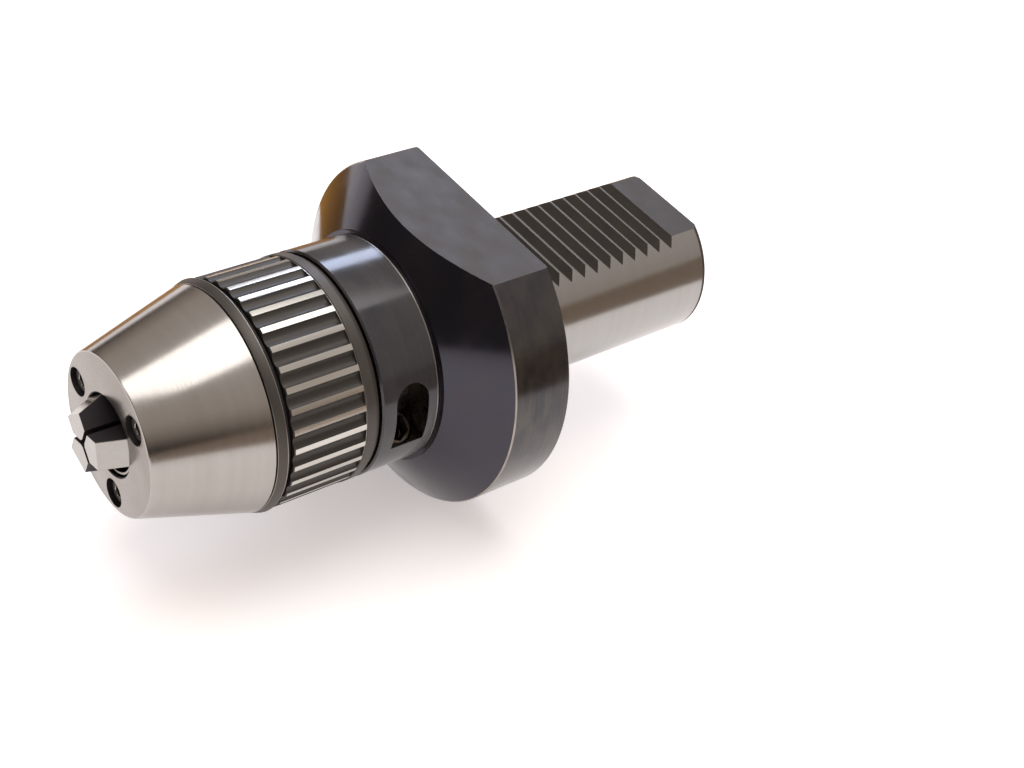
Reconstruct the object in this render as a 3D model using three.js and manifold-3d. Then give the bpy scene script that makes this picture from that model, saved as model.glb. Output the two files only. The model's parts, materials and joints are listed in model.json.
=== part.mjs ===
// Key-operated drill chuck in one piece with a turret holder. Millimetres, +Z up.
// The tool axis is Y: the shank points to +Y and the nose to -Y. The origin is on the axis, in the
// flange's rear face, which seats on the turret. "Ahead" below is the distance in front of that face.

import * as THREE from 'three';
import { mergeVertices } from 'three/addons/utils/BufferGeometryUtils.js';
import Module from 'manifold-3d';

const wasm = await Module();
wasm.setup();

// ---------------------------------------------------------------- driving dimensions
const GAP = 0.3; // running clearance between neighbouring pieces

// Shank and flange, standard size 40
const SHANK_R = 20;
const SHANK_LENGTH = 63;
const SHANK_FLAT_Z = 16;
const RACK_PITCH = 4;
const RACK_NOTCHES = 11;
const RACK_LAST_CREST = 54;
const RACK_CREST = 0.5; // width of the flat crests
const RACK_DEPTH = 1.9;
const RACK_FLOOR = 2.45; // from a crest's start to the notch's floor
const FLANGE_R = 41.5;
const FLANGE_RIM = 15.3; // width of the cylindrical rim
const FLANGE_FLAT_Z = 33;
const BARREL_R = 26.8;
const BARREL_START = 25.2;
const BARREL_FRONT = 40.3;

// Nose
const NOSE_FACE = 92;
const NOSE_R = 18.7;
const CONE_REAR = 66.8;
const CONE_REAR_R = 26.1;
const NOSE_HOLE_R = 9.45;
const GUIDE_BORE_R = 8.4;
const GUIDE_REAR = 62.7;
const SCREW_CIRCLE_R = 14.4;
const SCREW_ANGLES = [44, 164, 284];

// Jaws
const JAW_ANGLES = [14, 134, 254];
const JAW_SLOPE = 22; // degrees between a jaw's path and the tool axis
const JAW_WIDTH = 6.7;
const JAW_TIP = 97.8;
const JAW_OUTER_AT_FACE = 8.7;
const JAW_GRIP_R = 0.9; // half the opening when closed
const JAW_TAIL_OUTER = 11.9;
const JAW_TAIL_INNER = 6.2;
const JAW_AXIAL_TRAVEL = 17.57;

// Jaw carrier, drive nut and grip sleeve
const CARRIER_R = 19.2;
const CARRIER_TOP = 62.4;
const HUB_FACE = 36.4; // floor of the barrel's counterbore
const CARRIER_BOTTOM = HUB_FACE + GAP + JAW_AXIAL_TRAVEL;
const NUT_R = 22;
const NUT_REAR = HUB_FACE + GAP;
const NUT_TEETH = 24;
const BEARING_R = 23.75;
const BEARING_POCKET_R = 25.2;
const BALL_R = 1;
const BALL_COUNT = 12;
const SLEEVE_REAR = 40.7;
const LAND_REAR = 44.5;
const SLEEVE_FRONT = 62.7;
const LAND_R = 26.6;
const FLUTES = 36;
const FLUTE_DEPTH = 0.75;
const FLUTE_WIDTH = 3.4;

// Drive worm and the key window
const WORM_AHEAD = 32.6;
const WORM_OFFSET = 20.3; // distance of the worm's axis from the tool axis
const WORM_SIDE = -33.5; // degrees, direction in which the worm's axis is offset
const WORM_R = 3.8;
const WORM_BORE_R = 4.1;
const KEY_ACROSS_FLATS = 6;
const WINDOW_AHEAD = 32.4;
const WINDOW_WIDTH = 8.6;
const WINDOW_LOW = -5.4;
const WINDOW_HIGH = 11;
const WINDOW_FLOOR_X = 18.5;

// ---------------------------------------------------------------- surface colours
const BLACK_OXIDE = { color: 0x232326, roughness: 0.32, metalness: 0.85 };
const SATIN_BLACK = { color: 0x2b2b2e, roughness: 0.5, metalness: 0.8 };
const GROUND_STEEL = { color: 0xb8b2aa, roughness: 0.28, metalness: 1 };
const HARDENED_STEEL = { color: 0x9a9893, roughness: 0.35, metalness: 1 };
const SPRING_STEEL = { color: 0x55534f, roughness: 0.45, metalness: 0.9 };
const BRONZE = { color: 0x9b7440, roughness: 0.45, metalness: 0.9 };
const RUBBER = { color: 0x17171a, roughness: 0.85, metalness: 0 };

// ---------------------------------------------------------------- solids
const rad = (degrees) => (degrees * Math.PI) / 180;
const slope = Math.tan(rad(JAW_SLOPE));

/** Welds a geometry, drops collapsed triangles and turns it into a solid with its faces out. */
function solid(geometry) {
  const bare = geometry.index ? geometry.clone() : geometry;
  bare.deleteAttribute('normal');
  bare.deleteAttribute('uv');
  const welded = mergeVertices(bare, 1e-4);
  const index = [...welded.index.array];
  const point = welded.attributes.position.array;
  const kept = [];
  let volume = 0;
  const at = (i) => new THREE.Vector3(point[3 * i], point[3 * i + 1], point[3 * i + 2]);
  for (let i = 0; i < index.length; i += 3) {
    const [a, b, c] = index.slice(i, i + 3);
    if (a === b || b === c || c === a) continue;
    kept.push([a, b, c]);
    volume += at(a).dot(at(b).cross(at(c)));
  }
  const triangles = kept.flatMap(([a, b, c]) => (volume < 0 ? [a, c, b] : [a, b, c]));
  return new wasm.Manifold(new wasm.Mesh({
    numProp: 3,
    vertProperties: new Float32Array(point),
    triVerts: new Uint32Array(triangles),
  }));
}

/** A solid turned about the tool axis from [radius, ahead] points; it closes on the axis or on itself. */
function turned(profile, segments = 48) {
  const closed = profile.every(([radius]) => radius > 0);
  const points = closed ? [...profile, profile[0]] : profile;
  const outline = points.map(([radius, ahead]) => new THREE.Vector2(radius, -ahead));
  return solid(new THREE.LatheGeometry(outline, segments));
}

/** A plain ring about the tool axis. */
const ring = (inner, outer, rear, front, segments = 40) =>
  turned([[inner, rear], [outer, rear], [outer, front], [inner, front]], segments);

/** A box given by its lowest and highest corners. */
function block([x0, y0, z0], [x1, y1, z1]) {
  const box = new THREE.BoxGeometry(x1 - x0, y1 - y0, z1 - z0);
  box.translate((x0 + x1) / 2, (y0 + y1) / 2, (z0 + z1) / 2);
  return solid(box);
}

/** A round bar parallel to the tool axis, its centre at a radius and an angle. */
function pin(radius, rear, front, atRadius, angle, segments = 16) {
  const bar = new THREE.CylinderGeometry(radius, radius, front - rear, segments);
  bar.translate(atRadius * Math.cos(rad(angle)), -(rear + front) / 2, atRadius * Math.sin(rad(angle)));
  return solid(bar);
}

/** Turns a solid about the tool axis, from +X toward +Z. */
const swung = (body, angle) => body.rotate([0, -angle, 0]);

/** A flat outline of [radius, ahead] points given a tangential width, centred on the +X side. */
function plate(outline, width) {
  const shape = new THREE.Shape(outline.map(([radius, ahead]) => new THREE.Vector2(radius, -ahead)));
  const slab = new THREE.ExtrudeGeometry(shape, { depth: width, bevelEnabled: false });
  slab.translate(0, 0, -width / 2);
  return solid(slab);
}

/** A prism that runs along the tool axis, from an outline of [x, z] points. */
function alongAxis(outline, rear, front) {
  const shape = new THREE.Shape(outline.map(([x, z]) => new THREE.Vector2(x, -z)));
  const prism = new THREE.ExtrudeGeometry(shape, { depth: front - rear, bevelEnabled: false });
  prism.rotateX(Math.PI / 2);
  prism.translate(0, -rear, 0);
  return solid(prism);
}

/** A prism that runs along X, from a flat shape drawn with Y to the right and Z up. */
function alongX(shape, from, to) {
  const prism = new THREE.ExtrudeGeometry(shape, { depth: to - from, bevelEnabled: false });
  prism.applyMatrix4(new THREE.Matrix4().makeBasis(
    new THREE.Vector3(0, 1, 0), new THREE.Vector3(0, 0, 1), new THREE.Vector3(1, 0, 0),
  ));
  prism.translate(from, 0, 0);
  return solid(prism);
}

/** A hexagonal bar along the tool axis, its centre at a radius and an angle. */
function hexagon(acrossFlats, rear, front, atRadius = 0, angle = 0) {
  return pin(acrossFlats / Math.sqrt(3), rear, front, atRadius, angle, 6);
}

const joined = (bodies) => bodies.reduce((all, body) => all.add(body));
const cut = (body, cutters) => cutters.reduce((rest, cutter) => rest.subtract(cutter), body);

// ---------------------------------------------------------------- worm line
const wormSide = new THREE.Vector3(Math.cos(rad(WORM_SIDE)), 0, Math.sin(rad(WORM_SIDE)));
const keyWay = new THREE.Vector3(wormSide.z, 0, -wormSide.x); // the way the key goes in
const wormCentre = wormSide.clone().multiplyScalar(WORM_OFFSET).setY(-WORM_AHEAD);

/** Lays a geometry that was made along +Y onto the worm's line, +Y along the key's way in. */
function onWormLine(geometry) {
  const turn = new THREE.Quaternion().setFromUnitVectors(new THREE.Vector3(0, 1, 0), keyWay);
  geometry.applyQuaternion(turn);
  geometry.translate(wormCentre.x, wormCentre.y, wormCentre.z);
  return solid(geometry);
}

/** A bar on the worm's line between two distances from the worm's centre. */
function wormBar(radius, from, to, segments = 24) {
  const bar = new THREE.CylinderGeometry(radius, radius, to - from, segments);
  bar.translate(0, (from + to) / 2, 0);
  return onWormLine(bar);
}

// ---------------------------------------------------------------- holder body
/** The sawtooth notches cut across the shank's flat. */
function rackNotches() {
  return Array.from({ length: RACK_NOTCHES }, (_, n) => {
    const crest = RACK_LAST_CREST - RACK_PITCH * (RACK_NOTCHES - n);
    const tooth = new THREE.Shape([
      new THREE.Vector2(crest + RACK_CREST, SHANK_FLAT_Z + 1),
      new THREE.Vector2(crest + RACK_CREST, SHANK_FLAT_Z),
      new THREE.Vector2(crest + RACK_FLOOR, SHANK_FLAT_Z - RACK_DEPTH),
      new THREE.Vector2(crest + RACK_FLOOR + 0.15, SHANK_FLAT_Z - RACK_DEPTH),
      new THREE.Vector2(crest + RACK_PITCH, SHANK_FLAT_Z),
      new THREE.Vector2(crest + RACK_PITCH, SHANK_FLAT_Z + 1),
    ]);
    return alongX(tooth, -SHANK_R - 1, SHANK_R + 1);
  });
}

/** The pocket in the barrel through which the key reaches the worm: round above, flat below. */
function keyWindow() {
  const half = WINDOW_WIDTH / 2;
  const shape = new THREE.Shape();
  shape.moveTo(-WINDOW_AHEAD - half, WINDOW_LOW);
  shape.lineTo(-WINDOW_AHEAD + half, WINDOW_LOW);
  shape.lineTo(-WINDOW_AHEAD + half, WINDOW_HIGH - half);
  shape.absarc(-WINDOW_AHEAD, WINDOW_HIGH - half, half, 0, Math.PI, false);
  return alongX(shape, WINDOW_FLOOR_X, BARREL_R + 2);
}

function holderBody() {
  const body = turned([
    [0, -SHANK_LENGTH], [SHANK_R - 0.7, -SHANK_LENGTH], [SHANK_R, -SHANK_LENGTH + 0.7],
    [SHANK_R, -2.4], [19.5, -2], [19.5, 0],
    [21.2, 0], [21.2, 2.6], [24.2, 2.6], [24.2, 0],
    [FLANGE_R - 0.3, 0], [FLANGE_R, 0.3], [FLANGE_R, FLANGE_RIM - 0.4], [FLANGE_R - 0.5, FLANGE_RIM],
    [BARREL_R + 0.9, BARREL_START - 0.5], [BARREL_R - 0.3, BARREL_START - 0.5],
    [BARREL_R - 0.3, BARREL_START + 0.1], [BARREL_R, BARREL_START + 0.4],
    [BARREL_R, BARREL_FRONT - 0.4], [BARREL_R - 0.4, BARREL_FRONT],
    [BEARING_POCKET_R, BARREL_FRONT], [BEARING_POCKET_R, 38.6],
    [NUT_R + GAP, 38.6], [NUT_R + GAP, HUB_FACE], [0, HUB_FACE],
  ]);
  return cut(body, [
    block([-50, -30, FLANGE_FLAT_Z], [50, 0.5, 60]),
    block([-30, 3, SHANK_FLAT_Z], [30, SHANK_LENGTH + 1, 60]),
    ...rackNotches(),
    pin(6.3, -SHANK_LENGTH - 1, -55, 0, 0, 24),
    ...SCREW_ANGLES.map((angle) => pin(1.8, 25.5, HUB_FACE + 1, SCREW_CIRCLE_R, angle, 12)),
    keyWindow(),
    wormBar(WORM_BORE_R, -12, 24),
  ]);
}

// ---------------------------------------------------------------- nose cone
/** The slot in which one jaw slides, on the +X side. */
function jawSlot() {
  const clear = JAW_OUTER_AT_FACE + GAP;
  const deep = CARRIER_R + 0.2;
  return plate([
    [0, NOSE_FACE + 1], [clear - slope, NOSE_FACE + 1],
    [deep, NOSE_FACE - (deep - clear) / slope], [deep, GUIDE_REAR - 1], [0, GUIDE_REAR - 1],
  ], JAW_WIDTH + 2 * GAP);
}

function noseCone() {
  const cone = turned([
    [GUIDE_BORE_R, GUIDE_REAR], [NUT_R, GUIDE_REAR], [NUT_R, 64.1], [24, 64.1], [24, CONE_REAR],
    [CONE_REAR_R - 0.3, CONE_REAR], [CONE_REAR_R, CONE_REAR + 0.4],
    [NOSE_R, NOSE_FACE - 0.4], [NOSE_R - 0.4, NOSE_FACE],
    [NOSE_HOLE_R + 0.2, NOSE_FACE], [NOSE_HOLE_R, NOSE_FACE - 0.2], [NOSE_HOLE_R, NOSE_FACE - 2],
    [NOSE_HOLE_R - 0.4, NOSE_FACE - 2], [NOSE_HOLE_R - 0.4, NOSE_FACE - 0.7],
    [GUIDE_BORE_R, NOSE_FACE - 0.7],
  ]);
  const posts = SCREW_ANGLES.map((angle) => pin(2.9, HUB_FACE + GAP, GUIDE_REAR + 1, SCREW_CIRCLE_R, angle));
  return cut(joined([cone, ...posts]), [
    ...JAW_ANGLES.map((angle) => swung(jawSlot(), angle)),
    ...SCREW_ANGLES.map((angle) => pin(3.35, 87.7, NOSE_FACE + 1, SCREW_CIRCLE_R, angle, 20)),
    ...SCREW_ANGLES.map((angle) => pin(1.8, HUB_FACE, NOSE_FACE, SCREW_CIRCLE_R, angle, 12)),
  ]);
}

/** A socket-head screw that runs through the cone and its post into the holder body. */
function noseScrew(angle) {
  const head = joined([
    pin(2.75, 88, 90.8, SCREW_CIRCLE_R, angle),
    pin(2.5, 90.7, 91, SCREW_CIRCLE_R, angle),
    pin(1.5, 26, 88.2, SCREW_CIRCLE_R, angle, 12),
  ]);
  return head.subtract(hexagon(2.5, 89.3, 92, SCREW_CIRCLE_R, angle));
}

// ---------------------------------------------------------------- jaws and carrier
/** A jaw in its closed position: V-shaped grip, round ground back, T-shaped tail. */
function jaw(angle) {
  const half = JAW_WIDTH / 2;
  const shoulder = NOSE_FACE - (JAW_TAIL_OUTER - JAW_OUTER_AT_FACE) / slope;
  const neckTop = CARRIER_TOP + 0.4;
  const side = plate([
    [JAW_GRIP_R, JAW_TIP], [JAW_OUTER_AT_FACE - (JAW_TIP - NOSE_FACE) * slope, JAW_TIP],
    [JAW_TAIL_OUTER, shoulder], [JAW_TAIL_OUTER, neckTop - 5.6], [JAW_TAIL_INNER, neckTop - 5.6],
    [JAW_TAIL_INNER, 74], [JAW_GRIP_R, 83],
  ], JAW_WIDTH);
  const grip = alongAxis([
    [JAW_GRIP_R, -0.45], [JAW_GRIP_R + 1.67, -half], [30, -half], [30, half],
    [JAW_GRIP_R + 1.67, half], [JAW_GRIP_R, 0.45],
  ], 50, 100);
  const back = new THREE.CylinderGeometry(JAW_OUTER_AT_FACE, JAW_OUTER_AT_FACE, 80, 48);
  back.rotateZ(rad(JAW_SLOPE));
  back.translate(0, -NOSE_FACE, 0);
  const tail = block([0, -shoulder - 1, -half], [30, -50, half]);
  const besideNeck = block([0, -neckTop, 1.7], [30, -59.4, half + 1]);
  const besideHead = block([0, -59.5, 2.9], [30, -50, half + 1]);
  const otherSide = (body) => body.mirror([0, 0, 1]);
  const body = side.intersect(grip).intersect(solid(back).add(tail));
  return swung(cut(body, [besideNeck, besideHead, otherSide(besideNeck), otherSide(besideHead)]), angle);
}

/** The disc that pushes the jaws: a T-slot for each tail and a hole for each guide post. */
function jawCarrier() {
  const disc = turned([
    [0, CARRIER_BOTTOM], [CARRIER_R - 0.5, CARRIER_BOTTOM], [CARRIER_R, CARRIER_BOTTOM + 0.5],
    [CARRIER_R, CARRIER_TOP - 0.5], [CARRIER_R - 0.5, CARRIER_TOP], [0, CARRIER_TOP],
  ]);
  const neck = block([JAW_TAIL_INNER - GAP, -CARRIER_TOP - 1, -2], [30, -57, 2]);
  const head = block([JAW_TAIL_INNER - GAP, -59.7, -3.2], [30, -56.9, 3.2]);
  return cut(disc, [
    ...JAW_ANGLES.map((angle) => swung(neck.add(head), angle)),
    ...SCREW_ANGLES.map((angle) => pin(3.2, 50, 70, SCREW_CIRCLE_R, angle, 20)),
  ]);
}

// ---------------------------------------------------------------- drive nut, sleeve and bearing
function driveNut() {
  const body = turned([
    [CARRIER_R + GAP, NUT_REAR], [NUT_R, NUT_REAR], [NUT_R, 43.4], [24, 43.4], [24, 45.4],
    [NUT_R, 45.4], [NUT_R, 57.7], [20.9, 57.7], [20.9, 59.5], [NUT_R, 59.5],
    [NUT_R, CARRIER_TOP], [CARRIER_R + GAP, CARRIER_TOP],
  ]);
  const gash = block([18, -NUT_REAR - 1.1, -0.8], [23, -NUT_REAR + 1, 0.8]);
  const teeth = Array.from({ length: NUT_TEETH }, (_, n) => swung(gash, (n * 360) / NUT_TEETH));
  const keyway = swung(block([20.6, -56, -1.8], [25, -47.4, 1.8]), 90);
  return cut(body, [...teeth, keyway]);
}

/** The key that makes the sleeve turn with the nut. */
const driveKey = () => swung(block([20.9, -55.7, -1.5], [23.2, -47.7, 1.5]), 90);

/** The split ring that holds the sleeve on the nut. */
function snapRing() {
  const hoop = ring(21.2, 23.2, 58, 59.2);
  return hoop.subtract(block([-2.5, -60, -30], [2.5, -57, 0]));
}

function gripSleeve() {
  const inside = NUT_R + GAP;
  const rimR = BARREL_R;
  const body = turned([
    [BEARING_POCKET_R, SLEEVE_REAR], [rimR - 1, SLEEVE_REAR], [rimR - 0.1, SLEEVE_REAR + 1],
    [rimR, SLEEVE_REAR + 1.5], [rimR, LAND_REAR - 0.2], [LAND_R, LAND_REAR],
    [LAND_R, SLEEVE_FRONT - 0.3], [LAND_R - 0.3, SLEEVE_FRONT],
    [inside, SLEEVE_FRONT], [inside, 59.5], [23.5, 59.5], [23.5, 57.7], [inside, 57.7],
    [inside, 45.7], [24.3, 45.7], [24.3, 43.5], [BEARING_POCKET_R, 43.5],
  ], 2 * FLUTES);
  const cutterR = (FLUTE_WIDTH ** 2 / 4 + FLUTE_DEPTH ** 2) / (2 * FLUTE_DEPTH);
  const flute = pin(cutterR, LAND_REAR, 70, LAND_R - FLUTE_DEPTH + cutterR, 0, 10);
  const flutes = Array.from({ length: FLUTES }, (_, n) => swung(flute, ((n + 0.5) * 360) / FLUTES));
  const keyway = swung(block([20, -56, -1.8], [23.5, -45, 1.8]), 90);
  return cut(body, [...flutes, keyway]);
}

/** The bearing's balls, held in their flat cage. */
function ballCage() {
  const level = 40 + BALL_R;
  const ball = new THREE.SphereGeometry(BALL_R, 8, 4);
  ball.translate(BEARING_R, -level, 0);
  const balls = Array.from({ length: BALL_COUNT }, (_, n) => swung(solid(ball), (n * 360) / BALL_COUNT));
  return joined([ring(BEARING_R - 0.9, BEARING_R + 0.9, level - 0.3, level + 0.3, 24), ...balls]);
}

// ---------------------------------------------------------------- worm drive
/** The drive worm, its thread along its whole middle and a hexagonal socket for the key. */
function driveWorm() {
  const length = 16.5;
  const rings = 24;
  const threadPitch = 5.3; // one tooth of the nut for each turn
  const blank = new THREE.CylinderGeometry(1, 1, length, 14, rings);
  const place = blank.attributes.position;
  for (let i = 0; i < place.count; i += 1) {
    const [x, y, z] = [place.getX(i), place.getY(i), place.getZ(i)];
    const reach = Math.hypot(x, z);
    if (reach < 0.5) continue;
    const fromEnd = length / 2 - Math.abs(y);
    const phase = y / threadPitch - Math.atan2(z, x) / (2 * Math.PI);
    const wave = Math.min(1, Math.max(0, 0.5 + 0.9 * Math.sin(2 * Math.PI * phase)));
    const radius = fromEnd < 1.4 ? WORM_R - 0.1 : WORM_R - 0.9 * wave;
    place.setXYZ(i, (x / reach) * radius, y, (z / reach) * radius);
  }
  const socket = new THREE.CylinderGeometry(
    KEY_ACROSS_FLATS / Math.sqrt(3), KEY_ACROSS_FLATS / Math.sqrt(3), 14, 6,
  );
  socket.translate(0, -length / 2, 0);
  return onWormLine(blank).subtract(onWormLine(socket));
}

/** The plug that closes the cross bore below the worm. */
const wormPlug = () => wormBar(3.8, 9.6, 14).subtract(wormBar(3 / Math.sqrt(3), 12, 15, 6));

/** The sealing ring in the groove of the flange's rear face. */
function flangeSeal() {
  const hoop = new THREE.TorusGeometry(22.7, 1.2, 6, 36);
  hoop.rotateX(Math.PI / 2);
  hoop.translate(0, -0.9, 0);
  return solid(hoop);
}

/** The plug in the shank's rear centre hole. */
const rearPlug = () => pin(6, -62.2, -55.3, 0, 0, 24).subtract(hexagon(5, -63, -59, 0, 0));

/** The black ring behind the bright cone. */
const frontRing = () => turned([
  [24.3, 64.1], [26.6, 64.1], [26.9, 64.4], [26.2, CONE_REAR - GAP], [24.3, CONE_REAR - GAP],
]);

// ---------------------------------------------------------------- assembly
const group = new THREE.Group();
group.name = 'drill_chuck';

/** Adds one named piece with its own material. */
function piece(name, body, finish) {
  const mesh = body.getMesh();
  const geometry = new THREE.BufferGeometry();
  geometry.setAttribute('position', new THREE.BufferAttribute(new Float32Array(mesh.vertProperties), 3));
  geometry.setIndex([...mesh.triVerts]);
  geometry.computeVertexNormals();
  const node = new THREE.Mesh(geometry, new THREE.MeshStandardMaterial({ ...finish }));
  node.name = name;
  group.add(node);
}

piece('holder_body', holderBody(), BLACK_OXIDE);
piece('nose_cone', noseCone(), GROUND_STEEL);
piece('front_ring', frontRing(), SATIN_BLACK);
piece('front_seal', ring(NUT_R + GAP, 25.6, 63, 63.8), RUBBER);
piece('grip_sleeve', gripSleeve(), SATIN_BLACK);
piece('drive_nut', driveNut(), HARDENED_STEEL);
piece('drive_key', driveKey(), HARDENED_STEEL);
piece('snap_ring', snapRing(), SPRING_STEEL);
piece('rear_race', ring(22.6, 24.9, 38.9, 39.7), HARDENED_STEEL);
piece('ball_cage', ballCage(), HARDENED_STEEL);
piece('front_race', ring(22.6, 24.9, 42.3, 43.1), HARDENED_STEEL);
piece('jaw_carrier', jawCarrier(), HARDENED_STEEL);
JAW_ANGLES.forEach((angle, n) => piece(`jaw_${n + 1}`, jaw(angle), HARDENED_STEEL));
SCREW_ANGLES.forEach((angle, n) => piece(`nose_screw_${n + 1}`, noseScrew(angle), SATIN_BLACK));
piece('drive_worm', driveWorm(), HARDENED_STEEL);
piece('worm_washer', wormBar(3.6, 8.55, 9.3), BRONZE);
piece('worm_plug', wormPlug(), SATIN_BLACK);
piece('flange_seal', flangeSeal(), RUBBER);
piece('rear_plug', rearPlug(), SATIN_BLACK);

export default group;
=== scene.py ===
"""Looks of the drill chuck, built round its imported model.

Every length below is in millimetres until it goes through mm(). The tool axis is Y: the shank points to
+Y and the nose to -Y. "Ahead" is the distance in front of the flange's rear face, as in [radius, ahead].
"""

import json
import logging
import math
from collections.abc import Callable, Iterable, Sequence
from dataclasses import dataclass
from enum import Enum

import bmesh
import bpy
from mathutils import Matrix, Vector

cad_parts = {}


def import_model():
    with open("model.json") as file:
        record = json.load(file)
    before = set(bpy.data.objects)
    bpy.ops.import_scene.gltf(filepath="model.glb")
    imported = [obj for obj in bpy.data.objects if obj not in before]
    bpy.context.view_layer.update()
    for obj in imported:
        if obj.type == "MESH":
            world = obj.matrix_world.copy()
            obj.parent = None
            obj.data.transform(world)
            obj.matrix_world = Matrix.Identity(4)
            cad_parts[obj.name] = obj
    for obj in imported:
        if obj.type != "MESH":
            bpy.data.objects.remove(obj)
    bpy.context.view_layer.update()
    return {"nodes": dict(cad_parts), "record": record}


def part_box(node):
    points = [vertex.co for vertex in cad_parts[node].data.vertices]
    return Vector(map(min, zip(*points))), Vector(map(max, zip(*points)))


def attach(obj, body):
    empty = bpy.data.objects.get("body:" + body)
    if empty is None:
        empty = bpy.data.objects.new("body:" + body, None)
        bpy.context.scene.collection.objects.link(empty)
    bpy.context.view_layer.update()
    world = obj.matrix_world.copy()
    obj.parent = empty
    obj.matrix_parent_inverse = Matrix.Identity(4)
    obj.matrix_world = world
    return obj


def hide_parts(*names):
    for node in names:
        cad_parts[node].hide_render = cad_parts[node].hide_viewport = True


LOG = logging.getLogger("drill_chuck")
MM_PER_M = 1000.0

# Where the screws and the jaws sit, shared by the holder, the nose and the jaws.
SCREW_CIRCLE = 14.4
SCREW_ANGLES = (44.0, 164.0, 284.0)
SCREW_HOLE_R = 1.8
JAW_ANGLES = (14.0, 134.0, 254.0)
JAW_SLOPE = 22.0
JAW_WIDTH = 6.7
JAW_OUTER_AT_FACE = 8.7
NOSE_FACE = 92.0
HEX_CORNER = 1 / math.sqrt(3)  # a hexagon's corner radius for each millimetre across its flats

Triple = tuple[float, float, float]
Profile = Sequence[tuple[float, float]]
Mesh = bmesh.types.BMesh
Material = bpy.types.Material
Socket = bpy.types.NodeSocket
Choice = Callable[[Vector, Vector], Material]


# ---- names
class Body(str, Enum):
    """The bodies that pieces ride on."""

    HOUSING = "housing"
    DRIVE = "drive"
    WORM = "worm"
    JAW_1 = "jaw_1"
    JAW_2 = "jaw_2"
    JAW_3 = "jaw_3"


class Carving(str, Enum):
    """How one solid acts on another."""

    CUT = "DIFFERENCE"
    KEEP_SHARED = "INTERSECT"
    ADD = "UNION"


class Blackening(Enum):
    """Grades of black oxide by the surface under it: roughness, how far it varies, share of metal."""

    POLISHED = (0.13, 0.08, 0.84)
    BUFFED = (0.13, 0.07, 0.45)
    TURNED = (0.15, 0.10, 0.9)
    SATIN = (0.40, 0.10, 0.6)
    MILLED = (0.50, 0.12, 0.45)


# ---- tools
def mm(value: float) -> float:
    """Millimetres in metres."""
    return value / MM_PER_M


def in_mm(box: Sequence[Sequence[float]]) -> list[list[float]]:
    """A box's two corners, given in metres, in millimetres."""
    return [[value * MM_PER_M for value in corner] for corner in box]


def spot(radius: float, ahead: float, angle: float) -> Vector:
    """A point in metres from its distance to the tool axis, its distance ahead and its angle.

    Args:
        radius: distance from the tool axis.
        ahead: distance in front of the flange's rear face.
        angle: degrees about the tool axis, from +X toward +Z.

    Returns:
        The point in the row frame.
    """
    turn = math.radians(angle)
    return Vector((mm(radius) * math.cos(turn), -mm(ahead), mm(radius) * math.sin(turn)))


def linear(sheet_colour: str) -> tuple[float, float, float, float]:
    """Turns an sRGB colour into the renderer's own.

    Args:
        sheet_colour: the colour as #rrggbb.

    Returns:
        Linear red, green, blue and full opacity.
    """
    parts = [int(sheet_colour[n : n + 2], 16) / 255 for n in (1, 3, 5)]
    values = [p / 12.92 if p <= 0.04045 else ((p + 0.055) / 1.055) ** 2.4 for p in parts]
    return (values[0], values[1], values[2], 1.0)


def add_node(
    tree: bpy.types.NodeTree, kind: str, inputs: dict[str | int, object] | None = None, **settings: object
) -> bpy.types.Node:
    """Adds a node.

    Args:
        tree: the node tree.
        kind: the node's type.
        inputs: by socket, a value or the socket that feeds it.
        settings: the node's own properties.

    Returns:
        The new node.
    """
    node = tree.nodes.new(kind)
    for key, value in settings.items():
        setattr(node, key, value)
    for key, value in (inputs or {}).items():
        if isinstance(value, Socket):
            tree.links.new(value, node.inputs[key])
        else:
            node.inputs[key].default_value = value
    return node


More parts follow.
